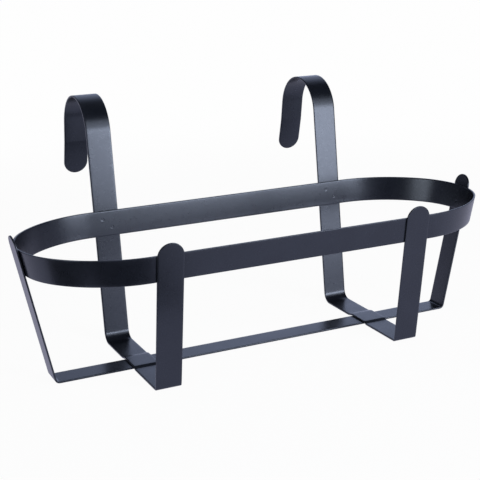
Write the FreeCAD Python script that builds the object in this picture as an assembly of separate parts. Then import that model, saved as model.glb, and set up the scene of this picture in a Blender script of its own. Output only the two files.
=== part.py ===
import FreeCAD, Part
import math
import os

# Railing-hung holder for an oval or rectangular flower box.
#
# The holder is four bent strips of flat steel, spot welded where they cross:
#   rim_ring           a closed oval band that goes round the flower box
#   end_strap          a long U that carries the box and the two ends of the ring
#   hook_strap_left    a U under the box, whose back leg rises into a railing hook
#   hook_strap_right   the same strap again
# The weld nodes are the metal of the spot welds and of the ring's own seam.
#
# Frame, in millimetres: X runs along the box, Y from the front to the railing side,
# Z up. The origin is on the floor, in the middle of the base.

# Strip stock
strip_thickness = 2.0
strip_width = 30.0
end_strip_width = 27.0
edge_radius = 0.4

# Base and uprights, over the outer faces
base_length = 512.0
base_depth = 164.0
strap_spacing = 303.0
side_lean = 7.4
end_lean = 11.8
front_tip_height = 168.5
end_tip_height = 169.5
front_corner_radius = 1.0
back_corner_radius = 11.0
end_corner_radius = 4.0

# Step of each hook strap over the end strap
step_clearance = 1.0
front_step_length = 4.0
back_step_length = 8.0
step_corner_radius = 1.5

# Railing hooks
hook_top_height = 285.5
hook_radius = 41.5
hook_flare = 8.5
hook_tip_flare = 13.5
hook_leg_drop = 26.3
hook_crease_radius = 6.0
hook_tip_drop = 41.5

# Rim ring
ring_bottom_height = 126.4
ring_height = 29.6
ring_side_length = 340.0
ring_shoulder_angle = 50.0
ring_seam_gap = 1.6

# Spot welds
weld_diameter = 4.6
weld_bite = 1.2
weld_dimple = 0.12
cross_weld_offset = (5.5, 5.0)
end_weld_offset = 6.5

SIDES = {"left": -1, "right": 1}


def vector(x, y, z):
    """A point or direction of the holder's frame."""
    return FreeCAD.Vector(x, y, z)


def reach(half_size, lean, inset, height):
    """Distance from the middle to a leaning face, at a height.

    The outer face stands half_size from the middle at the floor and leans out.
    The face asked for lies inset further in, measured square to the strip.
    """
    lean = math.radians(lean)
    return half_size + height * math.tan(lean) - inset / math.cos(lean)


def side_reach(inset, height):
    """Distance from the middle to a face of the front or back uprights."""
    return reach(base_depth / 2, side_lean, inset, height)


def end_reach(inset, height):
    """Distance from the middle to a face of the end uprights."""
    return reach(base_length / 2, end_lean, inset, height)


# Bent strips: a path of straight runs and bends, drawn in a plane

def path_corner(before, point, after, radius):
    """Where a bend of the strip's middle line starts and ends, and its centre."""
    into = (point - before).normalize()
    out = (after - point).normalize()
    turn = into.getAngle(out)
    trim = radius * math.tan(turn / 2)
    toward = (out - into).normalize()
    centre = point + toward * (radius / math.cos(turn / 2))
    return point - into * trim, centre, point + out * trim


def path_side(points, radii, offset, normal):
    """One face line of the strip: runs and bends, moved sideways by offset."""
    start = points[0]
    edges = []
    for index in range(1, len(points)):
        end = points[index]
        into = (end - points[index - 1]).normalize()
        shift = normal.cross(into) * offset
        if index == len(points) - 1:
            edges.append(Part.LineSegment(start + shift, end + shift).toShape())
            break
        bend_start, centre, bend_end = path_corner(points[index - 1], end, points[index + 1], radii[index - 1])
        edges.append(Part.LineSegment(start + shift, bend_start + shift).toShape())
        out = (points[index + 1] - end).normalize()
        arc_end = bend_end + normal.cross(out) * offset
        arc_start = bend_start + shift
        middle = centre + ((arc_start - centre) + (arc_end - centre)).normalize() * (arc_start - centre).Length
        edges.append(Part.Arc(arc_start, middle, arc_end).toShape())
        start = bend_end
    return edges


def bent_strip(points, radii, normal, width):
    """A strip of the stock's thickness, bent along a path in the plane of normal.

    radii are inner bend radii. The strip is centred on the path's plane.
    """
    half = strip_thickness / 2
    middle_radii = [radius + half for radius in radii]
    left = path_side(points, middle_radii, half, normal)
    right = path_side(points, middle_radii, -half, normal)
    caps = [
        Part.LineSegment(left[0].Vertexes[0].Point, right[0].Vertexes[0].Point).toShape(),
        Part.LineSegment(left[-1].Vertexes[-1].Point, right[-1].Vertexes[-1].Point).toShape(),
    ]
    face = Part.Face(Part.Wire(Part.__sortEdges__(left + right + caps)))
    face.translate(normal * (-width / 2))
    return face.extrude(normal * width)


def round_tip(end, direction, normal, width):
    """The half disc that rounds off a strip, from end in the strip's direction."""
    radius = width / 2
    across = direction.cross(normal)
    flat_start = end - normal * radius - across * (strip_thickness / 2)
    flat_end = end + normal * radius - across * (strip_thickness / 2)
    peak = end + direction * radius - across * (strip_thickness / 2)
    outline = Part.Wire([
        Part.Arc(flat_start, peak, flat_end).toShape(),
        Part.LineSegment(flat_end, flat_start).toShape(),
    ])
    return Part.Face(outline).extrude(across * strip_thickness)


def strap(points, radii, normal, width, place):
    """A bent strip whose two ends are fully rounded, moved to its place.

    The path's first and last points are the peaks of the rounded ends.
    """
    first = (points[0] - points[1]).normalize()
    last = (points[-1] - points[-2]).normalize()
    path = list(points)
    path[0] = points[0] - first * (width / 2)
    path[-1] = points[-1] - last * (width / 2)
    body = bent_strip(path, radii, normal, width)
    body = body.fuse([
        round_tip(path[0], first, normal, width),
        round_tip(path[-1], last, normal, width),
    ])
    body = body.removeSplitter()
    body = ease_edges(body, normal)
    body.translate(place)
    return body


def ease_edges(body, normal):
    """Round the strip's rims, which are all its edges but the seams across it."""
    rims = []
    for edge in body.Edges:
        across = isinstance(edge.Curve, Part.Line) and abs(edge.Curve.Direction.dot(normal)) > 0.999
        if not across:
            rims.append(edge)
    return body.makeFillet(edge_radius, rims)


# The four strips

def side_point(side, height):
    """A point on the middle line of the front (-1) or back (+1) upright."""
    return vector(0, side * side_reach(strip_thickness / 2, height), height)


def hook_points():
    """The middle line of a hook strap's hook, from its arch to its tip.

    The far leg drops from the arch's foot to a crease, and from there to the tip.
    """
    lean = math.radians(side_lean)
    flare = math.radians(hook_flare)
    tip_flare = math.radians(hook_tip_flare)
    radius = hook_radius + strip_thickness / 2
    centre_height = hook_top_height - strip_thickness - hook_radius
    leg_line = side_reach(strip_thickness / 2, centre_height)
    centre = vector(0, leg_line + radius / math.cos(lean), centre_height)
    near = vector(0, -math.cos(lean), math.sin(lean))
    far = vector(0, math.cos(flare), math.sin(flare))
    arch = centre + (near + far) * (radius / (1 + near.dot(far)))
    far_foot = centre + far * radius
    crease = far_foot + vector(0, math.tan(flare), -1) * hook_leg_drop
    tip = crease + vector(0, math.tan(tip_flare), -1) * hook_tip_drop
    return [arch, crease, tip]


def make_hook_strap(side):
    """Front upright, base with its step over the end strap, back leg and hook."""
    low = strip_thickness / 2
    high = low + strip_thickness
    rest = end_strip_width / 2 + step_clearance
    points = [
        side_point(-1, front_tip_height),
        side_point(-1, low),
        vector(0, -rest - front_step_length, low),
        vector(0, -rest, high),
        vector(0, rest, high),
        vector(0, rest + back_step_length, low),
        side_point(1, low),
    ]
    radii = [front_corner_radius] + [step_corner_radius] * 4 + [back_corner_radius]
    points += hook_points()
    radii += [hook_radius, hook_crease_radius]
    place = vector(side * strap_spacing / 2, 0, 0)
    return strap(points, radii, vector(1, 0, 0), strip_width, place)


def make_end_strap():
    """Two end uprights and the long run between them, which lies on the floor."""
    low = strip_thickness / 2
    points = []
    for side, height in ((-1, end_tip_height), (-1, low), (1, low), (1, end_tip_height)):
        points.append(vector(side * end_reach(low, height), 0, height))
    radii = [end_corner_radius] * 2
    return strap(points, radii, vector(0, 1, 0), end_strip_width, vector(0, 0, 0))


def ring_outline(inset, height):
    """The oval of one face of the ring, at a height.

    Each end is a shoulder arc, a tip arc and a shoulder arc. Their two radii follow
    from the room between the front and back uprights and between the end uprights.
    """
    depth = side_reach(inset, height)
    length = end_reach(inset, height) - ring_side_length / 2
    angle = math.radians(ring_shoulder_angle)
    sine = math.sin(angle)
    cosine = math.cos(angle)
    tip_radius = (depth * sine - length * (1 - cosine)) / (sine + cosine - 1)
    shoulder_radius = (depth - tip_radius * cosine) / (1 - cosine)
    edges = []
    for end in (1, -1):
        shoulder = [vector(end * ring_side_length / 2, -end * (depth - shoulder_radius), height)]
        shoulder.append(vector(shoulder[0].x, -shoulder[0].y, height))
        tip_x = shoulder[0].x + end * (shoulder_radius - tip_radius) * sine
        centres = [shoulder[0], vector(tip_x, 0, height), shoulder[1]]
        arc_radii = [shoulder_radius, tip_radius, shoulder_radius]
        bounds = [-math.pi / 2, angle - math.pi / 2, math.pi / 2 - angle, math.pi / 2]
        for index in range(3):
            corners = []
            for turn in (bounds[index], (bounds[index] + bounds[index + 1]) / 2, bounds[index + 1]):
                arm = vector(end * math.cos(turn), end * math.sin(turn), 0)
                corners.append(centres[index] + arm * arc_radii[index])
            edges.append(Part.Arc(*corners).toShape())
        side_start = edges[-1].Vertexes[-1].Point
        side_end = vector(-side_start.x, side_start.y, height)
        edges.append(Part.LineSegment(side_start, side_end).toShape())
    return Part.Wire(edges)


def make_ring():
    """The closed band: its outer face lies on the uprights' inner faces."""
    top = ring_bottom_height + ring_height
    margin = strip_thickness
    outer = [ring_outline(strip_thickness, height) for height in (ring_bottom_height, top)]
    inner_heights = (ring_bottom_height - margin, top + margin)
    inner = [ring_outline(2 * strip_thickness, height) for height in inner_heights]
    band = Part.makeLoft(outer, True, True).cut(Part.makeLoft(inner, True, True))
    rims = []
    for edge in band.Edges:
        heights = [vertex.Point.z for vertex in edge.Vertexes]
        if max(heights) - min(heights) < edge_radius:
            rims.append(edge)
    return band.makeFillet(edge_radius, rims)


# Welds

def weld_places():
    """Each weld node's spots, and the names of the two strips that they join.

    A spot is a point where the two strips meet and the direction that leads from
    the side with the electrode's dimple into the second strip.
    """
    lean = math.radians(side_lean)
    tilt = math.radians(end_lean)
    height = ring_bottom_height + ring_height / 2
    across, up = cross_weld_offset
    places = {}
    for hand, end in SIDES.items():
        strap_x = end * strap_spacing / 2
        for face, side in (("front", -1), ("back", 1)):
            into = vector(0, side * math.cos(lean), -math.sin(lean))
            rise = vector(0, side * math.sin(lean), math.cos(lean))
            middle = vector(strap_x, side * side_reach(strip_thickness, height), height)
            spots = [middle + vector(way * across, 0, 0) - rise * (way * up) for way in (-1, 1)]
            places["weld_" + face + "_" + hand] = (spots, into, "rim_ring", "hook_strap_" + hand)
        into = vector(end * math.cos(tilt), 0, -math.sin(tilt))
        rise = vector(end * math.sin(tilt), 0, math.cos(tilt))
        middle = vector(end * end_reach(strip_thickness, height), 0, height)
        spots = [middle + rise * (way * end_weld_offset) for way in (-1, 1)]
        places["weld_end_" + hand] = (spots, into, "rim_ring", "end_strap")
        middle = vector(strap_x, 0, strip_thickness)
        spots = [middle + vector(way * across, -way * up, 0) for way in (-1, 1)]
        places["weld_base_" + hand] = (spots, vector(0, 0, 1), "end_strap", "hook_strap_" + hand)
    return places


def weld_plug(spot, into, near):
    """A round plug from near, short of the joint, to the weld's bite beyond it."""
    return Part.makeCylinder(weld_diameter / 2, near + weld_bite, spot - into * near, into)


def add_welds(nodes):
    """Cut the welds' seats in the strips and add the weld nodes that fill them."""
    for name, (spots, into, first, second) in weld_places().items():
        seats = [weld_plug(spot, into, strip_thickness + weld_bite) for spot in spots]
        plugs = [weld_plug(spot, into, strip_thickness - weld_dimple) for spot in spots]
        for strip in (first, second):
            nodes[strip] = nodes[strip].cut(seats)
        nodes[name] = Part.makeCompound(plugs)


def add_ring_seam(nodes):
    """Part the ring behind the right front upright and fill the gap with weld."""
    depth = side_reach(0, ring_bottom_height + ring_height)
    corner = vector(strap_spacing / 2 - ring_seam_gap / 2, -depth, ring_bottom_height)
    slab = Part.makeBox(ring_seam_gap, depth, ring_height, corner)
    nodes["ring_seam_weld"] = nodes["rim_ring"].common(slab)
    nodes["rim_ring"] = nodes["rim_ring"].cut(slab)


def build():
    """All nodes of the holder, by name."""
    nodes = {"rim_ring": make_ring(), "end_strap": make_end_strap()}
    for hand, side in SIDES.items():
        nodes["hook_strap_" + hand] = make_hook_strap(side)
    add_ring_seam(nodes)
    add_welds(nodes)
    return nodes


os.makedirs("parts", exist_ok=True)
for node, shape in build().items():
    shape.exportStep("parts/" + node + ".step")
    box = shape.BoundBox
    print(node, len(shape.Solids), "solids", round(shape.Volume, 1), "mm3, valid", shape.isValid(),
          "X", round(box.XMin, 1), round(box.XMax, 1), "Y", round(box.YMin, 1), round(box.YMax, 1),
          "Z", round(box.ZMin, 2), round(box.ZMax, 1))
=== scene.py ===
"""The looks of a rail-hung flower box holder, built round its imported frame.

Four bent strips of flat steel, and the welds that join them, are worked out as
numpy surfaces from the same sizes as the frame and dressed in black powder coat.
Lengths are in metres. X runs along the flower box, Y from the front to the
railing, and Z up from the floor.
"""

import logging
import math
from dataclasses import dataclass, replace
from enum import Enum
from typing import Any

import bmesh
import bpy
import numpy as np
from mathutils import Matrix


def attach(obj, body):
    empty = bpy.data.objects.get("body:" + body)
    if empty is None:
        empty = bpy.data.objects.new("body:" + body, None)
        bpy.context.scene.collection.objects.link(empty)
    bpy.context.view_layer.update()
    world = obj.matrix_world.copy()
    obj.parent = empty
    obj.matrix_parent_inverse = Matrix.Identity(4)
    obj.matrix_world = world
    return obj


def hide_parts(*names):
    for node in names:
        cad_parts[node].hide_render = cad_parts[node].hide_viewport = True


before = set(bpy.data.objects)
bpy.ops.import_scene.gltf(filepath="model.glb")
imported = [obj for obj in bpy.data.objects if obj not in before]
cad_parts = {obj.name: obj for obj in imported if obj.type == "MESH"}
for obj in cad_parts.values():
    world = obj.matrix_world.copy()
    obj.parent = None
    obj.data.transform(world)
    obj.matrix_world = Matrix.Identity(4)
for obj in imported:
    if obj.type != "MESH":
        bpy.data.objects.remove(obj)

Colour = tuple[float, float, float]
Span = tuple[float, float]

LOG = logging.getLogger("flower_box_holder")
MM = 0.001
X_WAY, Y_WAY, Z_WAY = np.eye(3)
# The two spots of a pair of welds lie on opposite sides of its middle.
PAIR = np.array([[-1.0], [1.0]])
# How far the worn coat of a rim reaches onto a face.
RIM_REACH = 2.2 * MM
# What rounding may take from a whole number of steps.
ROUNDING = 1e-9


# Named options


class Slot(Enum):
    """Material slots of the record."""

    POWDER_COAT = "powder_coat"
    COATED_WELD = "coated_weld"


class Place(Enum):
    """Sides of the holder, each with the sign of its direction."""

    @property
    def word(self) -> str:
        """The word that node names use for this side."""
        return self.name.lower()


class Hand(Place):
    """The two ends of the holder, as the sign of X."""

    LEFT = -1
    RIGHT = 1


class Side(Place):
    """The two long sides of the holder, as the sign of Y."""

    FRONT = -1
    BACK = 1


# Sizes of the holder


@dataclass(frozen=True)
class Stock:
    """Flat steel as it is bought: two widths of one thickness."""

    thickness: float = 2.0 * MM
    hook_width: float = 30.0 * MM
    end_width: float = 27.0 * MM
    edge_radius: float = 0.4 * MM
    rim_steps: int = 4

    def rim(self) -> tuple[np.ndarray, np.ndarray]:
        """A rim from one face round to the other, without its two ends.

        It is two quarter circles of the edge radius e. At the angle a, from 0 to pi, the
        inset is e (1 - sin a) and the level is e cos a, plus or minus what lies between
        the two.

        Returns:
            Insets from the strip's outline, and levels through its thickness.
        """
        edge = self.edge_radius
        angle = np.linspace(0.0, math.pi, 2 * self.rim_steps + 1)[1:-1]
        half = np.sign(self.rim_steps - np.arange(1, 2 * self.rim_steps))
        level = edge * np.cos(angle) + (self.thickness / 2 - edge) * half
        return edge * (1.0 - np.sin(angle)), level


@dataclass(frozen=True)
class Cradle:
    """The leaning uprights round the flower box, which the straps and the ring share."""

    stock: Stock = Stock()
    base_length: float = 512.0 * MM
    base_depth: float = 164.0 * MM
    strap_spacing: float = 303.0 * MM
    side_lean: float = math.radians(7.4)
    end_lean: float = math.radians(11.8)
    ring_bottom: float = 126.4 * MM
    ring_height: float = 29.6 * MM

    @property
    def ring_middle(self) -> float:
        """Height of the ring's middle."""
        return self.ring_bottom + self.ring_height / 2

    @property
    def ring_top(self) -> float:
        """Height of the ring's upper rim."""
        return self.ring_bottom + self.ring_height

    def hook_place(self, hand: Hand) -> float:
        """X of the middle of a hook strap."""
        return hand.value * self.strap_spacing / 2

    @staticmethod
    def reach(half: float, lean: float, inset: Any, height: Any) -> Any:
        """Distance from the middle to a leaning face: half + height tan(lean) - inset / cos(lean).

        Args:
            half: distance of the outer face from the middle, at the floor.
            lean: how far the face leans out from upright.
            inset: depth of the wanted face behind the outer one, square to the strip.
            height: height above the floor.

        Returns:
            The distance, as a number or an array like inset and height.
        """
        return half + height * math.tan(lean) - inset / math.cos(lean)

    def side_reach(self, inset: Any, height: Any) -> Any:
        """Distance from the middle to a face of the front or back uprights."""
        return self.reach(self.base_depth / 2, self.side_lean, inset, height)

    def end_reach(self, inset: Any, height: Any) -> Any:
        """Distance from the middle to a face of the end uprights."""
        return self.reach(self.base_length / 2, self.end_lean, inset, height)


# Surfaces


def smooth_step(low: float, high: float, value: np.ndarray) -> np.ndarray:
    """0 below low, 1 above high, and 3t^2 - 2t^3 in between."""
    t = np.clip((value - low) / (high - low), 0.0, 1.0)
    return t * t * (3.0 - 2.0 * t)


def rim_share(gap: np.ndarray) -> np.ndarray:
    """1 on a rim, and less up to 0 at RIM_REACH from it."""
    return 1.0 - smooth_step(0.0, RIM_REACH, gap)


def path_length(points: np.ndarray) -> np.ndarray:
    """Length of a line of points up to each of them."""
    steps = np.linalg.norm(np.diff(points, axis=0), axis=1)
    return np.concatenate([[0.0], np.cumsum(steps)])


def girth(*outline: np.ndarray) -> np.ndarray:
    """Length round a closed outline up to each of its points, and back to the first."""
    loop = np.stack(outline, axis=-1)
    return path_length(np.concatenate([loop, loop[:1]]))


def refined(coarse: np.ndarray, middles: list[float], reach: float, step: float) -> np.ndarray:
    """Places along a strip, with closer ones round some middles.

    Args:
        coarse: places to start from.
        middles: places round which there is small detail.
        reach: how far the closer places go on both sides of a middle.
        step: distance between them.

    Returns:
        The closer places and the coarse ones that lie more than a step from them, in order.
    """
    count = round(reach / step)
    near = np.arange(-count, count + 1) * step
    fine = (np.array(middles)[:, None] + near).ravel()
    away = np.min(np.abs(coarse[:, None] - fine), axis=1) > step
    return np.sort(np.concatenate([coarse[away], fine]))


@dataclass
class Shell:
    """A surface on a grid of columns and rows, whose rows run round in a loop.

    The first and last columns may be drawn together to a point or a line, which
    closes the shell there.
    """

    points: np.ndarray
    along: np.ndarray
    round_way: np.ndarray
    numbers: dict[str, np.ndarray]
    chart_scale: float = 10.0

    def faces(self) -> np.ndarray:
        """Corner numbers of the quads between neighbouring columns and rows."""
        columns, rows = self.points.shape[:2]
        index = np.arange(columns * rows).reshape(columns, rows)
        beside = np.roll(index, -1, axis=1)
        quads = np.stack([index[:-1], beside[:-1], beside[1:], index[1:]], axis=-1)
        return quads.reshape(-1, 4)

    def corner_map(self) -> np.ndarray:
        """UV of each quad's corners: lengths along and round the strip, in decimetres."""
        grid = np.stack(np.meshgrid(self.along, self.round_way, indexing="ij"), axis=-1)
        quads = np.stack([grid[:-1, :-1], grid[:-1, 1:], grid[1:, 1:], grid[1:, :-1]], axis=2)
        return quads.reshape(-1, 2) * self.chart_scale


def placed(name: str, data: Any) -> bpy.types.Object:
    """A new object in the scene, at the origin."""
    made = bpy.data.objects.new(name, data)
    bpy.context.scene.collection.objects.link(made)
    return made


class Piece:
    """One named mesh of the holder, gathered from shells."""

    merge_gap = 1e-6
    thin_edge = 1e-7

    def __init__(self, name: str, slot: Slot, stands_for: str) -> None:
        """Starts an empty piece.

        Args:
            name: name of the Blender object.
            slot: material slot of the record that the piece is dressed from.
            stands_for: the CAD node that the piece is shown in place of.
        """
        self.name = name
        self.slot = slot
        self.stands_for = stands_for
        self.shells: list[Shell] = []

    def add(self, shell: Shell) -> "Piece":
        """Adds a shell and returns the piece."""
        self.shells.append(shell)
        return self

    def build(self, material: bpy.types.Material) -> bpy.types.Object:
        """Puts the shells into one smooth mesh that rides on the frame.

        Args:
            material: the finish.

        Returns:
            The new object, at the origin, with its place in its mesh.
        """
        starts = np.cumsum([0] + [shell.points[..., 0].size for shell in self.shells])
        points = np.concatenate([shell.points.reshape(-1, 3) for shell in self.shells])
        faces = np.concatenate([shell.faces() + start for shell, start in zip(self.shells, starts)])
        chart = np.concatenate([shell.corner_map() for shell in self.shells])
        mesh = bpy.data.meshes.new(self.name)
        mesh.from_pydata(points.tolist(), [], faces.tolist())
        mesh.uv_layers.new(name="strip").data.foreach_set("uv", chart.astype(np.float32).ravel())
        for key in self.shells[0].numbers:
            values = np.concatenate([shell.numbers[key].ravel() for shell in self.shells])
            layer = mesh.attributes.new(key, "FLOAT", "POINT")
            layer.data.foreach_set("value", values.astype(np.float32))
        self.close(mesh)
        mesh.shade_smooth()
        mesh.materials.append(material)
        made = placed(self.name, mesh)
        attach(made, "root")
        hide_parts(self.stands_for)
        LOG.info("%s: %d faces in place of %s", self.name, len(mesh.polygons), self.stands_for)
        return made

    def close(self, mesh: bpy.types.Mesh) -> None:
        """Joins the doubled points of seams and poles, and turns all faces outwards.

        Args:
            mesh: the mesh, which is changed.
        """
        work = bmesh.new()
        work.from_mesh(mesh)
        bmesh.ops.remove_doubles(work, verts=work.verts, dist=self.merge_gap)
        bmesh.ops.dissolve_degenerate(work, edges=work.edges, dist=self.thin_edge)
        bmesh.ops.recalc_face_normals(work, faces=work.faces)
        if any(not edge.is_manifold for edge in work.edges):
            LOG.warning("%s is open or folded somewhere", mesh.name)
        work.to_mesh(mesh)
        work.free()


# Strips


class BentLine:
    """The middle line of a bent strip, drawn in a plane: straight runs joined by round bends.

    Its heading is the start's heading plus the turn so far, and its place is the sum
    of the runs and arcs so far, so any length along it has an exact place.
    """

    def __init__(self, corners: np.ndarray, radii: np.ndarray) -> None:
        """Works out where each run and bend starts.

        Args:
            corners: (n, 2) points where the unrounded line turns, with its two ends.
            radii: (n - 2,) bend radii at the inner corners.
        """
        steps = np.diff(corners, axis=0)
        spans = np.linalg.norm(steps, axis=1)
        ways = steps / spans[:, None]
        headings = np.unwrap(np.arctan2(ways[:, 1], ways[:, 0]))
        turns = np.diff(headings)
        trims = radii * np.tan(np.abs(turns) / 2)
        before = np.concatenate([[0.0], trims])
        after = np.concatenate([trims, [0.0]])
        count = 2 * len(spans) - 1
        lengths = np.zeros(count)
        lengths[0::2] = spans - before - after
        lengths[1::2] = radii * np.abs(turns)
        self.curves = np.zeros(count)
        self.curves[1::2] = np.sign(turns) / radii
        self.knots = np.concatenate([[0.0], np.cumsum(lengths)])
        self.headings = headings[0] + np.concatenate([[0.0], np.cumsum(lengths * self.curves)])
        self.starts = np.zeros((count, 2))
        self.starts[0::2] = corners[:-1] + ways * before[:, None]
        self.starts[1::2] = corners[1:-1] - ways[:-1] * trims[:, None]

    @property
    def length(self) -> float:
        """Length of the whole line."""
        return float(self.knots[-1])

    def heading(self, way: np.ndarray) -> np.ndarray:
        """Angle of the line's direction at lengths along it."""
        return np.interp(way, self.knots, self.headings)

    def place(self, way: np.ndarray) -> np.ndarray:
        """Points of the line at lengths along it.

        On a run the point is start + rest (cos h, sin h). On a bend of curvature c it is
        start + (sin(h + c rest) - sin h, cos h - cos(h + c rest)) / c.

        Args:
            way: lengths along the line, in an array of any shape.

        Returns:
            An array of the same shape with 2 numbers for each length.
        """
        index = np.searchsorted(self.knots, way, side="right") - 1
        index = np.clip(index, 0, len(self.curves) - 1)
        rest = way - self.knots[index]
        curve = self.curves[index]
        head = self.headings[index]
        bent = curve != 0.0
        safe = np.where(bent, curve, 1.0)
        turned = head + safe * rest
        across = np.where(bent, (np.sin(turned) - np.sin(head)) / safe, rest * np.cos(head))
        up = np.where(bent, (np.cos(head) - np.cos(turned)) / safe, rest * np.sin(head))
        return self.starts[index] + np.stack([across, up], axis=-1)

    def stations(self, spacing: float, turn: float) -> np.ndarray:
        """Lengths along the line that divide each run and bend evenly.

        Args:
            spacing: the longest step.
            turn: the largest turn in one step.

        Returns:
            Lengths from 0 to the line's length, with every run's and bend's ends.
        """
        shares = np.maximum(np.diff(self.knots) / spacing, np.abs(np.diff(self.headings)) / turn)
        ends = np.concatenate([[0], np.cumsum(np.ceil(shares + ROUNDING).astype(int))])
        return np.interp(np.arange(ends[-1] + 1), ends, self.knots)


@dataclass(frozen=True)
class StripSection:
    """The rounded rectangle that a strip is cut to, as a loop of rows.

    Each row has a share across the strip (-1 to 1), an inset from the strip's outline
    and a level through its thickness.
    """

    stock: Stock
    width: float
    face_steps: int = 16

    def rows(self) -> tuple[np.ndarray, np.ndarray, np.ndarray]:
        """The rows, once round: upper face, right rim, lower face and left rim.

        Faces take shares -cos(pi k / n), which lie closer together near the rims. The
        lower half of the loop is the upper one turned half round.

        Returns:
            Shares, insets and levels.
        """
        share = -np.cos(np.linspace(0.0, math.pi, self.face_steps + 1))
        rim_inset, rim_level = self.stock.rim()
        shares = np.concatenate([share, np.ones(rim_inset.size)])
        insets = np.concatenate([np.full(share.size, self.stock.edge_radius), rim_inset])
        levels = np.concatenate([np.full(share.size, self.stock.thickness / 2), rim_level])
        return np.append(shares, -shares), np.tile(insets, 2), np.append(levels, -levels)


@dataclass(frozen=True)
class Dimples:
    """The prints that a welding electrode leaves: round dishes with a faint lip.

    At a share q of the print's radius the depth is d (1 - S(q)), where S is a smooth
    step over the slope, less a low ring where the metal wells up.
    """

    radius: float = 2.3 * MM
    depth: float = 0.12 * MM
    slope: Span = (0.5, 1.05)
    lip: float = 0.012 * MM
    lip_place: float = 1.2
    lip_width: float = 0.22
    warm_reach: float = 5.0 * MM
    grid_step: float = 0.4 * MM

    @staticmethod
    def away(points: np.ndarray, spots: np.ndarray) -> np.ndarray:
        """Distances from (..., 3) points to n spots, as (..., n) numbers."""
        return np.linalg.norm(points[..., None, :] - spots, axis=-1)

    def press(self, points: np.ndarray, which: np.ndarray, group: "WeldGroup") -> np.ndarray:
        """Presses a group's prints into some points of a surface.

        Args:
            points: (..., 3) points of the surface.
            which: True for the rows that lie on the printed face.
            group: the welds.

        Returns:
            The moved points.
        """
        share = self.away(points, group.prints) / self.radius
        dish = self.depth * (1.0 - smooth_step(*self.slope, share))
        lip = self.lip * np.exp(-(((share - self.lip_place) / self.lip_width) ** 2))
        depth = np.sum(dish - lip, axis=-1) * which
        return points + depth[..., None] * group.into

    def warmth(self, points: np.ndarray, spots: np.ndarray) -> np.ndarray:
        """How near points lie to the welds: exp(-(r / reach)^2), the largest of all spots."""
        return np.exp(-((self.away(points, spots) / self.warm_reach) ** 2)).max(axis=-1)


@dataclass
class Strap:
    """A bent strip with two fully rounded ends."""

    name: str
    cradle: Cradle = Cradle()
    dimples: Dimples = Dimples()
    spacing: float = 6.0 * MM
    bend_step: float = math.radians(3.0)
    tip_steps: int = 18
    tip_gap: float = 0.2 * MM
    bulge: float = 0.45 * MM
    bulge_window: float = 1.2 * MM
    bulge_power: int = 8
    strain_limit: float = 0.5

    def line(self) -> BentLine:
        """The strip's middle line in its plane, from tip to tip."""
        raise NotImplementedError

    def section(self) -> StripSection:
        """The strip's cross-section."""
        raise NotImplementedError

    def axes(self) -> tuple[np.ndarray, np.ndarray, np.ndarray]:
        """A point of the strip's plane, the plane's level direction and the width direction."""
        raise NotImplementedError

    def spots(self) -> np.ndarray:
        """Middles of the welds that hold the strip, between the strips they join."""
        raise NotImplementedError

    def finer(self, line: BentLine, inner: np.ndarray) -> np.ndarray:
        """More columns where the strap has small detail: none, unless a strap says so."""
        return inner

    def press(self, points: np.ndarray, levels: np.ndarray) -> np.ndarray:
        """Presses weld prints into the strap: none, unless a strap says so."""
        return points

    def columns(self, line: BentLine, radius: float) -> tuple[np.ndarray, np.ndarray, np.ndarray]:
        """The grid's columns, from one tip to the other.

        At a tip the columns are rays from the centre of its half circle, so a point at
        radius r lies r cos(a) beyond the centre and r sin(a) from the middle line.

        Args:
            line: the strip's middle line.
            radius: half the strip's width.

        Returns:
            For each column the length where it stands on the middle line, its ray's
            cosine, which is negative at the first tip, and its ray's sine.
        """
        last = line.length - radius
        angle = np.linspace(0.0, math.pi / 2, self.tip_steps, endpoint=False)
        inner = line.stations(self.spacing, self.bend_step)
        inner = inner[(inner > radius + self.tip_gap) & (inner < last - self.tip_gap)]
        inner = self.finer(line, np.concatenate([[radius], inner, [last]]))
        tip = np.ones(angle.size)
        stand = np.concatenate([tip * radius, inner, tip * last])
        cosine = np.concatenate([-np.cos(angle), np.zeros(inner.size), np.cos(angle)[::-1]])
        sine = np.concatenate([np.sin(angle), np.ones(inner.size), np.sin(angle)[::-1]])
        return stand, cosine, sine

    def shell(self) -> Shell:
        """The strip's surface.

        A point at length s, distance a across and level b is C(s) + b n(s) + a w, where
        C is the middle line, n its normal and w the width direction. Next to a tight
        bend the squeezed rim swells and the stretched one draws in, by the bulge times
        the strain b c(s), and by a high power of the share across.

        Returns:
            The closed shell, with the numbers rim and warmth.
        """
        section = self.section()
        line = self.line()
        radius = section.width / 2
        shares, insets, levels = section.rows()
        reach = radius - insets
        stand, cosine, sine = self.columns(line, radius)
        way = stand[:, None] + cosine[:, None] * reach
        heading = line.heading(way)
        window = self.bulge_window
        curve = (line.heading(way + window) - line.heading(way - window)) / (2 * window)
        strain = np.clip(levels * curve, -self.strain_limit, self.strain_limit)
        swell = self.bulge * strain * np.abs(shares) ** self.bulge_power
        across = shares * sine[:, None] * reach + np.sign(shares) * swell
        origin, level_way, width_way = self.axes()
        normal = np.stack([-np.sin(heading), np.cos(heading)], axis=-1)
        flat = line.place(way) + normal * levels[:, None]
        points = origin + flat[..., :1] * level_way + flat[..., 1:] * Z_WAY
        points = self.press(points + across[..., None] * width_way, levels)
        rim = rim_share((1.0 - np.abs(shares)) * reach + insets)
        warmth = self.dimples.warmth(points, self.spots())
        numbers = {"rim": np.broadcast_to(rim, way.shape), "warmth": warmth}
        return Shell(points, stand + cosine * radius, girth(shares * reach, levels), numbers)

    def piece(self) -> Piece:
        """The strap as a piece that stands for the CAD node of its name."""
        return Piece("coated_" + self.name, Slot.POWDER_COAT, self.name).add(self.shell())


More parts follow.
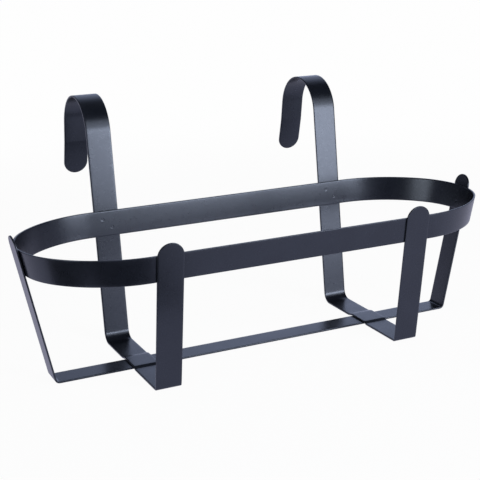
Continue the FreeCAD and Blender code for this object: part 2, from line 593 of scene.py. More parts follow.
@dataclass
class HookStrap(Strap):
    """A strip across the base whose back leg rises into a railing hook."""

    hand: Hand = Hand.LEFT
    front_tip: float = 168.5 * MM
    front_bend: float = 1.0 * MM
    back_bend: float = 11.0 * MM
    step_clearance: float = 1.0 * MM
    front_step: float = 4.0 * MM
    back_step: float = 8.0 * MM
    step_bend: float = 1.5 * MM
    hook_top: float = 285.5 * MM
    hook_radius: float = 41.5 * MM
    hook_flare: float = math.radians(8.5)
    tip_flare: float = math.radians(13.5)
    leg_drop: float = 26.3 * MM
    crease_bend: float = 6.0 * MM
    tip_drop: float = 41.5 * MM

    def hook(self) -> list[tuple[float, float]]:
        """Corners of the hook's middle line: the arch, the crease and the tip.

        The arch is a circle of the hook's radius that meets the back leg and the far leg.
        Its corner is centre + (near + far) R / (1 + near . far), where near and far are
        the normals of the two legs.

        Returns:
            Three (Y, Z) points.
        """
        low = self.cradle.stock.thickness / 2
        lean = self.cradle.side_lean
        radius = self.hook_radius + low
        height = self.hook_top - 2 * low - self.hook_radius
        reach = self.cradle.side_reach(low, height) + radius / math.cos(lean)
        centre = np.array([reach, height])
        near = np.array([-math.cos(lean), math.sin(lean)])
        far = np.array([math.cos(self.hook_flare), math.sin(self.hook_flare)])
        arch = centre + (near + far) * radius / (1.0 + near @ far)
        crease = centre + far * radius + np.array([math.tan(self.hook_flare), -1.0]) * self.leg_drop
        tip = crease + np.array([math.tan(self.tip_flare), -1.0]) * self.tip_drop
        return [tuple(arch), tuple(crease), tuple(tip)]

    def line(self) -> BentLine:
        """Front upright, base with its step over the end strap, back leg and hook."""
        stock = self.cradle.stock
        low = stock.thickness / 2
        high = low + stock.thickness
        rest = stock.end_width / 2 + self.step_clearance
        front = [(-self.cradle.side_reach(low, z), z) for z in (self.front_tip, low)]
        step = [(-rest - self.front_step, low), (-rest, high),
                (rest, high), (rest + self.back_step, low)]
        back = [(self.cradle.side_reach(low, low), low)]
        bends = [self.front_bend] + [self.step_bend] * len(step)
        bends += [self.back_bend, self.hook_radius, self.crease_bend]
        return BentLine(np.array(front + step + back + self.hook()), np.array(bends) + low)

    def section(self) -> StripSection:
        """The wider strip."""
        return StripSection(self.cradle.stock, self.cradle.stock.hook_width)

    def axes(self) -> tuple[np.ndarray, np.ndarray, np.ndarray]:
        """The plane across the holder at this hook, with the width along X."""
        return self.cradle.hook_place(self.hand) * X_WAY, Y_WAY, X_WAY

    def spots(self) -> np.ndarray:
        """The welds to the ring, front and back."""
        groups = [WeldGroup.crossing(self.cradle, self.hand, side) for side in Side]
        return np.concatenate([group.spots for group in groups])


@dataclass
class EndStrap(Strap):
    """The long strip on the floor, whose two ends stand up as the end uprights."""

    bend: float = 4.0 * MM
    tip_height: float = 169.5 * MM
    face_steps: int = 48
    fine_reach: float = 10.0 * MM

    def line(self) -> BentLine:
        """Left upright, base and right upright."""
        low = self.cradle.stock.thickness / 2
        left = [(-self.cradle.end_reach(low, z), z) for z in (self.tip_height, low)]
        right = [(-x, z) for x, z in left[::-1]]
        return BentLine(np.array(left + right), np.full(2, self.bend + low))

    def section(self) -> StripSection:
        """The narrower strip, with more rows for the prints underneath."""
        return StripSection(self.cradle.stock, self.cradle.stock.end_width, self.face_steps)

    def axes(self) -> tuple[np.ndarray, np.ndarray, np.ndarray]:
        """The plane along the holder's middle, with the width along Y."""
        return np.zeros(3), X_WAY, Y_WAY

    def base_welds(self) -> list["WeldGroup"]:
        """The two groups of welds under the hook straps."""
        return [WeldGroup.base(self.cradle, hand) for hand in Hand]

    def spots(self) -> np.ndarray:
        """The welds to the ring and to the hook straps."""
        groups = self.base_welds() + [WeldGroup.end(self.cradle, hand) for hand in Hand]
        return np.concatenate([group.spots for group in groups])

    def finer(self, line: BentLine, inner: np.ndarray) -> np.ndarray:
        """Closer columns where the electrodes have printed the underside."""
        middles = [line.length / 2 + self.cradle.hook_place(hand) for hand in Hand]
        return refined(inner, middles, self.fine_reach, self.dimples.grid_step)

    def press(self, points: np.ndarray, levels: np.ndarray) -> np.ndarray:
        """Prints the underside below each hook strap, without a lip, so that it stands flat."""
        flat = replace(self.dimples, lip=0.0)
        for group in self.base_welds():
            points = flat.press(points, levels <= -self.cradle.stock.thickness / 2, group)
        return points


@dataclass
class RimRing:
    """The closed oval band round the flower box, on edge inside the uprights."""

    cradle: Cradle = Cradle()
    dimples: Dimples = Dimples()
    side_length: float = 340.0 * MM
    side_steps: int = 59
    shoulder_angle: float = math.radians(50.0)
    shoulder_steps: int = 72
    shoulder_end: float = math.radians(3.2)
    tip_end: float = math.radians(2.8)
    tip_steps: int = 20
    fine_reach: float = 9.6 * MM
    inner_rows: tuple[float, float, float] = (4.6 * MM, 24.8 * MM, 0.42 * MM)
    outer_steps: int = 8
    easing: tuple[float, float] = (0.35 * MM, 1.0 * MM)
    seam_gap: float = 1.6 * MM
    seam_steps: int = 8
    seam_clearance: float = 0.1 * MM
    bead: float = 0.16 * MM
    ripple: float = 3.1 * MM
    ripple_share: float = 0.2

    def weld_groups(self) -> list["WeldGroup"]:
        """The welds that hold the ring to the uprights."""
        groups = [WeldGroup.crossing(self.cradle, hand, side) for hand in Hand for side in Side]
        return groups + [WeldGroup.end(self.cradle, hand) for hand in Hand]

    def rows(self) -> tuple[np.ndarray, np.ndarray]:
        """The band's cross-section, once round, as insets and heights.

        The inner face goes up, with rows close enough to show a weld's print, the upper
        rim outwards, the outer face down and the lower rim inwards.

        Returns:
            Insets from the uprights' outer faces, and heights.
        """
        stock = self.cradle.stock
        outer = stock.thickness
        low = self.cradle.ring_bottom + stock.edge_radius
        high = self.cradle.ring_top - stock.edge_radius
        ease = np.array([0.0, *self.easing])
        middle = self.cradle.ring_bottom + np.arange(*self.inner_rows)
        climb = np.concatenate([low + ease, middle, high - ease[::-1]])
        drop = np.linspace(high, low, self.outer_steps + 1)
        drop = np.concatenate([high - ease[:2], drop[1:-1], low + ease[1::-1]])
        rim_inset, rim_level = stock.rim()
        depth = 1.5 * outer + rim_level
        insets = [np.full(climb.size, 2 * outer), depth, np.full(drop.size, outer), depth[::-1]]
        heights = [climb, self.cradle.ring_top - rim_inset,
                   drop, self.cradle.ring_bottom + rim_inset]
        return np.concatenate(insets), np.concatenate(heights)

    def inside(self, inset: np.ndarray) -> np.ndarray:
        """Which rows lie on the inner face."""
        return inset >= 2 * self.cradle.stock.thickness

    def columns(self) -> tuple[np.ndarray, np.ndarray, np.ndarray]:
        """Where the columns stand, once round from one side of the seam to the other.

        Returns:
            For each column its place on the straight sides' line, its turn from the
            direction of its end of the holder, and the sign of that end.
        """
        half = self.side_length / 2
        gap = self.seam_gap / 2
        hooks = [self.cradle.hook_place(hand) for hand in Hand]
        run = np.linspace(-half, half, self.side_steps + 1)
        run = refined(run, hooks, self.fine_reach, self.dimples.grid_step)
        from_seam = run - hooks[-1]
        clear = gap + self.seam_clearance
        before = np.append(run[from_seam < -clear], hooks[-1] - gap)
        after = np.append(hooks[-1] + gap, run[from_seam > clear])
        flat = math.pi / 2
        shoulder = np.linspace(-flat, -self.shoulder_end, self.shoulder_steps)
        tip = np.linspace(-self.tip_end, self.tip_end, self.tip_steps + 1)
        turn = np.concatenate([shoulder, tip, -shoulder[::-1]])
        parts = [(after[:-1], -flat, 1.0), (half, turn, 1.0), (run[::-1][1:-1], flat, 1.0),
                 (-half, -turn, -1.0), (before[1:], -flat, -1.0)]
        columns = [np.stack(np.broadcast_arrays(*part)) for part in parts]
        return tuple(np.concatenate(columns, axis=1))

    def outline(self, line: np.ndarray, turn: np.ndarray, end: np.ndarray,
                inset: np.ndarray, height: np.ndarray) -> np.ndarray:
        """Points of the oval.

        Each end is a shoulder arc, a tip arc and a shoulder arc. With the room d behind
        the long sides and l beyond the straight part, the tip's radius is
        (d sin A - l (1 - cos A)) / (sin A + cos A - 1) and the shoulders' is
        (d - tip cos A) / (1 - cos A), where A is the shoulders' angle. A point is its
        arc's centre plus the radius times (cos, sin) of the turn.

        Args:
            line: place on the straight sides' line.
            turn: turn from the end's direction, a quarter turn on the straight sides.
            end: 1 or -1 for the end that the column belongs to.
            inset: depth behind the uprights' outer faces.
            height: height above the floor.

        Returns:
            Points with 3 numbers, in the shape that the arguments have together.
        """
        depth = self.cradle.side_reach(inset, height)
        length = self.cradle.end_reach(inset, height) - self.side_length / 2
        sine, cosine = math.sin(self.shoulder_angle), math.cos(self.shoulder_angle)
        tip = (depth * sine - length * (1.0 - cosine)) / (sine + cosine - 1.0)
        shoulder = (depth - tip * cosine) / (1.0 - cosine)
        on_tip = np.abs(turn) <= math.pi / 2 - self.shoulder_angle
        radius = np.where(on_tip, tip, shoulder)
        centre_x = np.where(on_tip, (shoulder - tip) * sine, 0.0)
        centre_y = np.where(on_tip, 0.0, np.sign(turn) * (depth - shoulder))
        x = line + end * (centre_x + radius * np.cos(turn))
        y = centre_y + radius * np.sin(turn)
        return np.stack([x, y, np.broadcast_to(height, x.shape)], axis=-1)

    def band(self, *columns: np.ndarray) -> tuple[np.ndarray, np.ndarray, np.ndarray]:
        """The band's surface over some columns: its points, insets and heights."""
        inset, height = self.rows()
        return self.outline(*[part[:, None] for part in columns], inset, height), inset, height

    def finished(self, points: np.ndarray, inset: np.ndarray, height: np.ndarray,
                 spots: np.ndarray) -> Shell:
        """A closed shell from a band's points.

        One more column at each end, drawn together at its middle, closes it there.

        Args:
            points: the band's points.
            inset: the rows' insets.
            height: the rows' heights.
            spots: middles of the welds.

        Returns:
            The shell, with the numbers rim and warmth.
        """
        middles = points.mean(axis=1, keepdims=True)
        caps = [np.broadcast_to(middle, points[:1].shape) for middle in (middles[:1], middles[-1:])]
        closed = np.concatenate([caps[0], points, caps[1]])
        along = path_length(middles[:, 0])
        rim = rim_share(np.minimum(height - self.cradle.ring_bottom, self.cradle.ring_top - height))
        warmth = self.dimples.warmth(closed, spots)
        numbers = {"rim": np.broadcast_to(rim, warmth.shape), "warmth": warmth}
        along = np.concatenate([along[:1], along, along[-1:]])
        return Shell(closed, along, girth(inset, height), numbers)

    def ring_piece(self) -> Piece:
        """The ring, open at its seam by the width of the weld."""
        groups = self.weld_groups()
        points, inset, height = self.band(*self.columns())
        for group in groups:
            points = self.dimples.press(points, self.inside(inset), group)
        spots = np.concatenate([group.spots for group in groups])
        shell = self.finished(points, inset, height, spots)
        return Piece("coated_rim_ring", Slot.POWDER_COAT, "rim_ring").add(shell)

    def seam_piece(self) -> Piece:
        """The butt weld that closes the ring, with a low rippled bead on the inside.

        The bead stands b (1 - q^2) (1 - s + s cos(2 pi z / ripple)) proud of the band,
        where q goes from -1 to 1 across the gap and s is the ripple's share.

        Returns:
            The seam's piece.
        """
        share = np.linspace(-1.0, 1.0, self.seam_steps + 1)
        line = self.cradle.hook_place(Hand.RIGHT) + share * self.seam_gap / 2
        side = -np.ones(share.size)
        points, inset, height = self.band(line, side * math.pi / 2, side)
        ripples = self.ripple_share * (np.cos(2.0 * math.pi * height / self.ripple) - 1.0)
        lift = self.bead * (1.0 - share[:, None] ** 2) * (1.0 + ripples) * self.inside(inset)
        points = points + lift[..., None] * Y_WAY
        shell = self.finished(points, inset, height, points.mean(axis=(0, 1))[None, :])
        return Piece("ground_ring_seam", Slot.COATED_WELD, "ring_seam_weld").add(shell)


# Welds


@dataclass(frozen=True)
class WeldGroup:
    """A pair of spot welds that join two strips.

    The spots lie where the strips meet, into points into the second strip, and near is
    the thickness of the first one.
    """

    name: str
    spots: np.ndarray
    into: np.ndarray
    near: float

    @staticmethod
    def upright(name: str, cradle: Cradle, lean: float, outward: np.ndarray,
                middle: np.ndarray, across: float, up: float) -> "WeldGroup":
        """A pair that joins the ring to a leaning upright.

        The way in is outward cos(lean) - Z sin(lean), and the way up the strip is
        outward sin(lean) + Z cos(lean). The spots lie across and up from the middle,
        and as far the other way.

        Args:
            name: the CAD node's name.
            cradle: sizes of the uprights.
            lean: how far the upright leans out.
            outward: level direction away from the holder's middle.
            middle: level place of the pair's middle.
            across: half the distance of the spots along X.
            up: half their distance up the strip.

        Returns:
            The pair.
        """
        into = outward * math.cos(lean) - Z_WAY * math.sin(lean)
        rise = outward * math.sin(lean) + Z_WAY * math.cos(lean)
        offset = across * X_WAY + up * rise
        spots = middle + cradle.ring_middle * Z_WAY + PAIR * offset
        return WeldGroup(name, spots, into, cradle.stock.thickness)

    @staticmethod
    def crossing(cradle: Cradle, hand: Hand, side: Side,
                 across: float = 5.5 * MM, down: float = 5.0 * MM) -> "WeldGroup":
        """The pair where the ring crosses a hook strap, the left one higher than the right one."""
        outward = side.value * Y_WAY
        reach = cradle.side_reach(cradle.stock.thickness, cradle.ring_middle)
        middle = cradle.hook_place(hand) * X_WAY + reach * outward
        name = f"weld_{side.word}_{hand.word}"
        return WeldGroup.upright(name, cradle, cradle.side_lean, outward, middle, across, -down)

    @staticmethod
    def end(cradle: Cradle, hand: Hand, up: float = 6.5 * MM) -> "WeldGroup":
        """The pair where the ring meets an end upright, one above the other."""
        outward = hand.value * X_WAY
        middle = cradle.end_reach(cradle.stock.thickness, cradle.ring_middle) * outward
        name = f"weld_end_{hand.word}"
        return WeldGroup.upright(name, cradle, cradle.end_lean, outward, middle, 0.0, up)

    @staticmethod
    def base(cradle: Cradle, hand: Hand,
             across: float = 5.5 * MM, along: float = 5.0 * MM) -> "WeldGroup":
        """The pair where the end strap passes under a hook strap."""
        near = cradle.stock.thickness
        middle = cradle.hook_place(hand) * X_WAY + near * Z_WAY
        spots = middle + PAIR * (across * X_WAY - along * Y_WAY)
        return WeldGroup(f"weld_base_{hand.word}", spots, Z_WAY, near)

    @property
    def prints(self) -> np.ndarray:
        """Middles of the electrode's prints, on the first strip's open face."""
        return self.spots - self.into * self.near


@dataclass(frozen=True)
class WeldNugget:
    """The fused metal of one spot weld: a slug with a low crown in its print."""

    radius: float = 1.9 * MM
    crown_radius: float = 1.25 * MM
    crown_depth: float = 0.090 * MM
    foot_depth: float = 0.108 * MM
    bite: float = 1.2 * MM
    chamfer: float = 0.3 * MM
    crown_steps: int = 6
    ease_steps: int = 4
    steps: int = 40
    awry: tuple[float, float, float] = (0.3, 0.4, 0.5)

    def profile(self, near: float) -> np.ndarray:
        """The slug's outline from its crown to its root, as (radius, depth past the joint).

        Args:
            near: thickness of the first strip.

        Returns:
            (n, 2) points that start and end on the axis.
        """
        share = np.linspace(0.0, 1.0, self.crown_steps + 1)
        sag = (self.foot_depth - self.crown_depth) * share**3
        crown = np.stack([share * self.crown_radius, self.crown_depth + sag - near], axis=-1)
        ease = np.linspace(0.0, math.pi / 2, self.ease_steps + 1)[1:, None]
        span = self.radius - self.crown_radius
        drop = np.hstack([np.sin(ease), 1.0 - np.cos(ease)]) * span + crown[-1]
        wall = np.array([[self.radius, self.bite - self.chamfer],
                         [self.radius - self.chamfer, self.bite], [0.0, self.bite]])
        return np.concatenate([crown, drop, wall])

    def shell(self, spot: np.ndarray, into: np.ndarray, near: float) -> Shell:
        """The outline turned round the weld's axis: spot + depth into + radius (cos a e + sin a f).

        Args:
            spot: middle of the weld, between the strips.
            into: the way into the second strip.
            near: thickness of the first strip.

        Returns:
            The closed shell, with the numbers rim and warmth.
        """
        outline = self.profile(near)
        side = np.cross(into, self.awry)
        side = side / np.linalg.norm(side)
        other = np.cross(into, side)
        angle = np.linspace(0.0, 2.0 * math.pi, self.steps + 1)
        spoke = np.cos(angle)[:-1, None] * side + np.sin(angle)[:-1, None] * other
        points = spot + outline[:, None, 1:] * into + outline[:, None, :1] * spoke
        plain = np.zeros(points.shape[:-1])
        numbers = {"rim": plain, "warmth": plain + 1.0}
        return Shell(points, path_length(outline), angle * self.radius, numbers)


@dataclass
class SpotWelds:
    """All spot welds of the holder."""

    cradle: Cradle = Cradle()
    nugget: WeldNugget = WeldNugget()

    def groups(self) -> list[WeldGroup]:
        """Every pair of welds, with the CAD nodes' names."""
        groups = []
        for hand in Hand:
            groups += [WeldGroup.crossing(self.cradle, hand, side) for side in Side]
            groups += [WeldGroup.end(self.cradle, hand), WeldGroup.base(self.cradle, hand)]
        return groups

    def pieces(self) -> list[Piece]:
        """One piece for each pair of welds."""
        made = []
        for group in self.groups():
            piece = Piece("coated_" + group.name, Slot.COATED_WELD, group.name)
            for spot in group.spots:
                piece.add(self.nugget.shell(spot, group.into, group.near))
            made.append(piece)
        return made


# Shader nodes


class Wire:
    """An output of a shader node. Arithmetic on it adds Math nodes."""

    def __init__(self, board: "Board", socket: bpy.types.NodeSocket) -> None:
        """Wraps one output socket of a board's tree."""
        self.board = board
        self.socket = socket

    def math(self, operation: str, first: Any, second: Any) -> "Wire":
        """The output of a Math node with this operation on two values."""
        return self.board.node("ShaderNodeMath", {"operation": operation}, {0: first, 1: second})

    def __add__(self, other: Any) -> "Wire":
        """self + other."""
        return self.math("ADD", self, other)

    __radd__ = __add__

    def __sub__(self, other: Any) -> "Wire":
        """self - other."""
        return self.math("SUBTRACT", self, other)

    def __rsub__(self, other: Any) -> "Wire":
        """other - self."""
        return self.math("SUBTRACT", other, self)

    def __mul__(self, other: Any) -> "Wire":
        """self * other."""
        return self.math("MULTIPLY", self, other)

    __rmul__ = __mul__

    def __pow__(self, other: Any) -> "Wire":
        """self to the power of other."""
        return self.math("POWER", self, other)

    def span(self, low: float, high: float) -> "Wire":
        """0 below low, 1 above high, and a smooth step between."""
        settings = {"interpolation_type": "SMOOTHSTEP"}
        inputs = {"Value": self, "From Min": low, "From Max": high}
        return self.board.node("ShaderNodeMapRange", settings, inputs)


@dataclass(frozen=True)
class Lumps:
    """A noise: about how far its lumps lie apart, its detail and its roughness."""

    size: float
    detail: float
    roughness: float = 0.5


class Board:
    """The node tree of a material or a world."""

    def __init__(self, owner: bpy.types.Material | bpy.types.World) -> None:
        """Takes over its owner's tree and clears it."""
        owner.use_nodes = True
        self.tree = owner.node_tree
        self.tree.nodes.clear()

    def node(self, kind: str, settings: dict[str, Any], inputs: dict[Any, Any],
             output: Any = 0) -> Wire:
        """Adds a node of any kind.

        Args:
            kind: Blender's name for the node type.
            settings: properties of the node, set first.
            inputs: values, colours or wires for its sockets, by name or number.
            output: name or number of the wanted output.

        Returns:
            The wanted output.
        """
        made = self.tree.nodes.new(kind)
        for key, value in settings.items():
            setattr(made, key, value)
        for key, value in inputs.items():
            if isinstance(value, Wire):
                self.tree.links.new(value.socket, made.inputs[key])
            elif isinstance(value, tuple):
                made.inputs[key].default_value = (*value, 1.0)
            else:
                made.inputs[key].default_value = value
        return Wire(self, made.outputs[output] if len(made.outputs) else None)

    def split(self, way: Wire) -> list[Wire]:
        """The X, Y and Z of a direction."""
        return [self.node("ShaderNodeSeparateXYZ", {}, {0: way}, part) for part in range(3)]

    def noise(self, place: Wire, lumps: Lumps) -> Wire:
        """Noise at a place, about 0.5 on average."""
        inputs = {"Vector": place, "Scale": 1.0 / lumps.size,
                  "Detail": lumps.detail, "Roughness": lumps.roughness}
        return self.node("ShaderNodeTexNoise", {"noise_dimensions": "3D"}, inputs)

    def mix(self, share: Any, first: Any, second: Any) -> Wire:
        """A colour between first and second."""
        settings = {"data_type": "RGBA", "blend_type": "MIX"}
        return self.node("ShaderNodeMix", settings, {0: share, 6: first, 7: second}, 2)

    def matt(self, colour: Colour) -> Wire:
        """A surface without gloss."""
        return self.node("ShaderNodeBsdfDiffuse", {}, {"Color": colour})


@dataclass(frozen=True)
class PowderCoat:
    """Black powder coat, baked on: a satin skin with orange peel, thinner over the rims."""

    name: str = "black_powder_coat"
    deep: Colour = (0.0034, 0.0043, 0.0074)
    soft: Colour = (0.0056, 0.0069, 0.0110)
    rim: Colour = (0.0300, 0.0330, 0.0420)
    dust: Colour = (0.0550, 0.0600, 0.0700)
    sheen_tint: Colour = (0.80, 0.87, 1.00)
    gloss_index: float = 1.60
    cloud: Lumps = Lumps(38.0 * MM, 3.0)
    tone_span: Span = (0.30, 0.70)
    blotch: Lumps = Lumps(7.0 * MM, 4.0, 0.62)
    rim_wear: float = 0.30
    wear_power: float = 1.6
    wear_span: Span = (0.42, 0.66)
    upward_span: Span = (0.55, 0.95)
    settled_span: Span = (0.35, 0.70)
    settled_dust: float = 0.08
    specks: Lumps = Lumps(1.3 * MM, 3.0, 0.7)
    speck_span: Span = (0.66, 0.72)
    speck_dust: float = 0.05
    roughness: float = 0.285
    blotch_roughness: float = 0.06
    grain_roughness: float = 0.05
    wear_roughness: float = 0.10
    settled_roughness: float = 0.05
    warm_gloss: float = 0.0
    peel: Lumps = Lumps(2.6 * MM, 1.2, 0.45)
    peel_height: float = 0.008 * MM
    grain: Lumps = Lumps(0.55 * MM, 2.0)
    grain_height: float = 0.002 * MM
    wave: Lumps = Lumps(70.0 * MM, 1.0)
    wave_height: float = 0.12 * MM
    rim_roll: float = 0.20 * MM
    roll_power: float = 2

    def material(self) -> bpy.types.Material:
        """The coat as a Blender material.

        Returns:
            A material that reads Object coordinates and the rim and warmth numbers.
        """
        made = bpy.data.materials.new(self.name)
        board = Board(made)
        place = board.node("ShaderNodeTexCoord", {}, {}, "Object")
        rim, warmth = [board.node("ShaderNodeAttribute", {"attribute_name": name}, {}, "Fac")
                       for name in ("rim", "warmth")]
        upward = board.split(board.node("ShaderNodeNewGeometry", {}, {}, "Normal"))[2]
        noises = (self.cloud, self.blotch, self.specks, self.peel, self.grain, self.wave)
        cloud, blotch, specks, peel, grain, wave = [board.noise(place, lumps) for lumps in noises]
        worn = rim**self.wear_power * blotch.span(*self.wear_span) * self.rim_wear
        settled = upward.span(*self.upward_span) * cloud.span(*self.settled_span)
        dusty = settled * self.settled_dust + specks.span(*self.speck_span) * self.speck_dust
        coat = board.mix(cloud.span(*self.tone_span), self.deep, self.soft)
        coat = board.mix(dusty, board.mix(worn, coat, self.rim), self.dust)
        gloss = self.roughness + (blotch - 0.5) * self.blotch_roughness
        gloss = gloss + (grain - 0.5) * self.grain_roughness + worn * self.wear_roughness
        gloss = gloss + settled * self.settled_roughness - warmth * self.warm_gloss
        height = peel * self.peel_height + grain * self.grain_height + wave * self.wave_height
        height = height - rim**self.roll_power * self.rim_roll
        relief = {"Strength": 1.0, "Distance": 1.0, "Height": height}
        bump = board.node("ShaderNodeBump", {}, relief)
        inputs = {"Base Color": coat, "Roughness": gloss, "Normal": bump,
                  "IOR": self.gloss_index, "Specular Tint": self.sheen_tint}
        surface = board.node("ShaderNodeBsdfPrincipled", {}, inputs)
        board.node("ShaderNodeOutputMaterial", {}, {"Surface": surface})
        return made


# The studio


def toward(azimuth: float, elevation: float) -> np.ndarray:
    """The way out from the holder at angles round from its front and up from the floor."""
    level = math.cos(elevation)
    return np.array([math.sin(azimuth) * level, -math.cos(azimuth) * level, math.sin(elevation)])


def looking(place: np.ndarray, back: np.ndarray, roll: float) -> Matrix:
    """The matrix of a camera or lamp that looks along -back.

    Args:
        place: where it stands.
        back: unit vector from what it looks at.
        roll: turn round its own axis, in radians.

    Returns:
        A world matrix.
    """
    right = np.cross(-back, Z_WAY)
    right = right / np.linalg.norm(right)
    up = np.cross(right, -back)
    x_way = right * math.cos(roll) + up * math.sin(roll)
    y_way = -right * math.sin(roll) + up * math.cos(roll)
    matrix = np.eye(4)
    matrix[:3, :] = np.stack([x_way, y_way, back, place], axis=1)
    return Matrix(matrix.tolist())


@dataclass(frozen=True)
class Lamp:
    """A soft box: a glowing rectangle that looks at a point of the holder."""

    name: str
    azimuth: float
    elevation: float
    width: float
    height: float
    radiance: float
    aim: float
    colour: Colour = (0.86, 0.90, 1.0)
    distance: float = 2.0

    def build(self) -> bpy.types.Object:
        """Puts up the lamp, aimed at a height above the origin.

        Returns:
            The lamp, whose power is pi times its area times its radiance.
        """
        back = toward(math.radians(self.azimuth), math.radians(self.elevation))
        light = bpy.data.lights.new(self.name, "AREA")
        light.shape = "RECTANGLE"
        light.size, light.size_y = self.width, self.height
        light.energy = math.pi * self.width * self.height * self.radiance
        light.color = self.colour
        made = placed(self.name, light)
        made.matrix_world = looking(self.aim * Z_WAY + back * self.distance, back, 0.0)
        made.visible_camera = False
        return made


@dataclass(frozen=True)
class Viewpoint:
    """The camera of the photograph, fitted to the holder's edges."""

    azimuth: float = math.radians(-25.616)
    elevation: float = math.radians(16.277)
    roll: float = math.radians(-0.939)
    distance: float = 1264.616 * MM
    target: tuple[float, float, float] = (-24.678 * MM, 0.0, 127.45 * MM)
    focal_length: float = 82.16
    sensor: float = 36.0
    clip: Span = (0.05, 60.0)

    def build(self) -> bpy.types.Object:
        """Puts up the camera and makes it the scene's own."""
        back = toward(self.azimuth, self.elevation)
        lens = bpy.data.cameras.new("viewpoint")
        lens.lens = self.focal_length
        lens.sensor_width = self.sensor
        lens.clip_start, lens.clip_end = self.clip
        made = placed("viewpoint", lens)
        made.matrix_world = looking(np.array(self.target) + back * self.distance, back, self.roll)
        bpy.context.scene.camera = made
        return made


@dataclass(frozen=True)
class Sweep:
    """A pale paper sweep at the back right and a dim room, which only the gloss sees.

    The sweep is wide above the bend and narrow below it, where it also grows darker
    upwards. Each span runs over the height of the looking direction, or over the cosine
    between that direction and the sweep's middle.
    """

    turn: float = math.radians(31.0)
    bend: Span = (0.42, 0.52)
    high_edge: Span = (0.76, 0.92)
    low_edge: Span = (0.90, 1.01)
    low_tone: float = 1.15
    low_loss: float = 0.65
    low_shade: Span = (0.355, 0.425)
    top: Span = (0.60, 0.92)
    tone: float = 1.05
    wall: float = 0.14
    wall_top: Span = (0.25, 0.60)
    ceiling: float = 0.03

    def glow(self, board: Board) -> Wire:
        """How bright the room looks in each direction."""
        right, back, up = board.split(board.node("ShaderNodeTexCoord", {}, {}, "Generated"))
        facing = right * math.sin(self.turn) + back * math.cos(self.turn)
        facing = facing * (1.0 - up * up) ** -0.5
        high = up.span(*self.bend)
        low = self.low_tone - up.span(*self.low_shade) * self.low_loss
        low = facing.span(*self.low_edge) * low
        sweep = high * facing.span(*self.high_edge) + (1.0 - high) * low
        sweep = sweep * (1.0 - up.span(*self.top))
        return sweep * self.tone + (1.0 - up.span(*self.wall_top)) * self.wall + self.ceiling


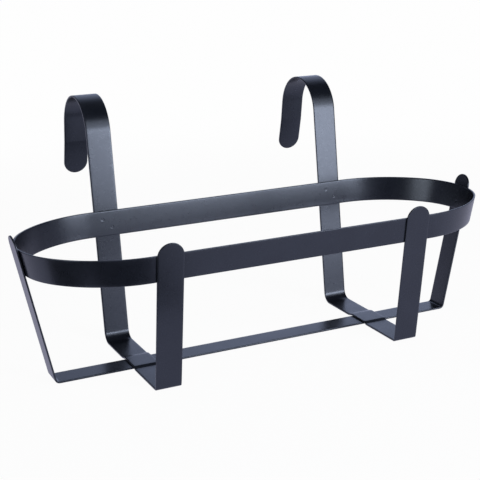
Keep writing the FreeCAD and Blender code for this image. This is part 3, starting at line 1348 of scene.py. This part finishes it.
@dataclass
class Studio:
    """A pale floor in a pale room, with soft boxes low at the sides."""

    floor_half: float = 12.0
    floor_drop: float = 0.15 * MM
    floor_colour: Colour = (0.90, 0.90, 0.91)
    white: Colour = (1.0, 1.0, 1.0)
    lift: float = 0.95
    far_lift: float = 0.985
    lift_span: Span = (0.7, 1.5)
    gloss_lift: float = 0.74
    fill: float = 0.38
    # Painted dark reflection: black sheets on the floor that only the gloss sees, so the coat
    # reflects dark at the front left.
    painted_reflection_sheets: tuple[tuple[float, float, float, float], ...] = (
        (-0.70, -0.62, -0.065, -0.235), (-0.95, -0.235, -0.37, -0.04),
        (-0.37, -0.235, -0.17, -0.205))
    painted_reflection_colour: Colour = (0.02, 0.02, 0.02)
    paper_tint: Colour = (0.72, 0.72, 0.98)
    sweep: Sweep = Sweep()
    sweep_tint: Colour = (0.63, 0.72, 1.00)
    far_tone: float = 0.99
    lamps: tuple[Lamp, ...] = (
        Lamp("low_front_box", 32.0, 0.0, 0.96, 0.55, 9.4, 0.335),
        Lamp("low_side_box", 15.5, 0.0, 0.28, 0.36, 13.4, 0.51),
        Lamp("middle_front_box", 28.0, 0.0, 1.05, 0.28, 6.4, 0.74),
        Lamp("high_front_box", 26.5, 0.0, 1.05, 1.02, 2.8, 1.39),
        Lamp("left_box", -66.0, 8.0, 1.0, 0.9, 3.4, 0.14, (0.93, 0.97, 1.0)),
    )

    @staticmethod
    def seen(board: Board) -> tuple[Wire, Wire]:
        """1 for rays from the camera, and 1 for rays from a reflection or through glass."""
        names = ("Is Camera Ray", "Is Glossy Ray", "Is Transmission Ray")
        camera, gloss, glass = [board.node("ShaderNodeLightPath", {}, {}, name) for name in names]
        return camera, (gloss + glass) * (1.0 - camera)

    @staticmethod
    def laid(name: str, sheets: Any, height: float) -> tuple[bpy.types.Object, Board]:
        """Flat sheets on the stage, in a finish that has no nodes yet.

        Args:
            name: name of the object and its finish.
            sheets: the left, front, right and back edge of each sheet.
            height: height above the floor.

        Returns:
            The object and its finish's board.
        """
        points = [(x, y, height) for left, front, right, back in sheets
                  for x, y in ((left, front), (right, front), (right, back), (left, back))]
        mesh = bpy.data.meshes.new(name)
        mesh.from_pydata(points, [], np.arange(len(points)).reshape(-1, 4).tolist())
        made = placed(name, mesh)
        finish = bpy.data.materials.new(name)
        mesh.materials.append(finish)
        return made, Board(finish)

    def floor(self) -> None:
        """The floor: white paper that still takes the holder's shadow."""
        half = self.floor_half
        board = self.laid("paper_floor", [(-half, -half, half, half)], -self.floor_drop)[1]
        camera, gloss = self.seen(board)
        place = board.node("ShaderNodeTexCoord", {}, {}, "Object")
        away = board.node("ShaderNodeVectorMath", {"operation": "LENGTH"}, {0: place}, "Value")
        lift = away.span(*self.lift_span) * (self.far_lift - self.lift) + self.lift
        shown = board.mix(camera, self.paper_tint, self.white)
        glow = board.node("ShaderNodeEmission", {}, {"Color": shown, "Strength": 1.0})
        share = camera * lift + gloss * self.gloss_lift
        inputs = {0: share, 1: board.matt(self.floor_colour), 2: glow}
        surface = board.node("ShaderNodeMixShader", {}, inputs)
        board.node("ShaderNodeOutputMaterial", {}, {"Surface": surface})

    def painted_reflection(self) -> None:
        """Black sheets on the floor at the front left, which only the gloss sees: a painted dark
        reflection in the coat, where the floor is left pale.
        """
        made, board = self.laid("painted_dark_reflection", self.painted_reflection_sheets, 0.0)
        made.visible_camera = made.visible_diffuse = made.visible_shadow = False
        board.node("ShaderNodeOutputMaterial", {}, {"Surface": board.matt(self.painted_reflection_colour)})

    def world(self) -> None:
        """The room: white to the camera, and to the gloss a pale sweep and dim walls."""
        world = bpy.data.worlds.new("pale_room")
        bpy.context.scene.world = world
        board = Board(world)
        camera, gloss = self.seen(board)
        strength = gloss * (self.sweep.glow(board) - self.fill) + self.fill
        strength = camera * (self.far_tone - strength) + strength
        colour = board.mix(gloss, self.white, self.sweep_tint)
        sky = board.node("ShaderNodeBackground", {}, {"Color": colour, "Strength": strength})
        board.node("ShaderNodeOutputWorld", {}, {"Surface": sky})

    def build(self) -> None:
        """Puts up the floor, the painted dark reflection, the room, the lamps and the camera."""
        bpy.context.scene.view_settings.view_transform = "Standard"
        self.floor()
        self.painted_reflection()
        self.world()
        for lamp in self.lamps:
            lamp.build()
        Viewpoint().build()


# The whole holder


@dataclass
class FlowerBoxHolder:
    """The ring, the straps and their welds, with their finishes."""

    cradle: Cradle = Cradle()
    coat: PowderCoat = PowderCoat()
    weld_coat: PowderCoat = PowderCoat(
        name="coat_over_welds", roughness=0.28, peel=Lumps(1.5 * MM, 1.2, 0.45),
        wave_height=0.0, rim_wear=0.0, rim_roll=0.0, warm_gloss=0.01)

    def pieces(self) -> list[Piece]:
        """Every piece of the holder."""
        ring = RimRing(self.cradle)
        made = [ring.ring_piece(), ring.seam_piece(), EndStrap("end_strap", self.cradle).piece()]
        for hand in Hand:
            made.append(HookStrap(f"hook_strap_{hand.word}", self.cradle, hand=hand).piece())
        return made + SpotWelds(self.cradle).pieces()

    def build(self) -> list[bpy.types.Object]:
        """Builds and dresses every piece."""
        finishes = {Slot.POWDER_COAT: self.coat.material(),
                    Slot.COATED_WELD: self.weld_coat.material()}
        return [piece.build(finishes[piece.slot]) for piece in self.pieces()]


def corners(box: tuple[Any, Any]) -> list[list[float]]:
    """A box's two corners as plain lists."""
    return [[float(value) for value in corner] for corner in box]


def main() -> None:
    """Builds the holder and its studio."""
    logging.basicConfig(level=logging.INFO, format="%(name)s %(message)s")
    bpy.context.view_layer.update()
    built = FlowerBoxHolder().build()
    Studio().build()
    bpy.context.view_layer.update()
    LOG.info("%d pieces", len(built))


if __name__ == "__main__":
    main()
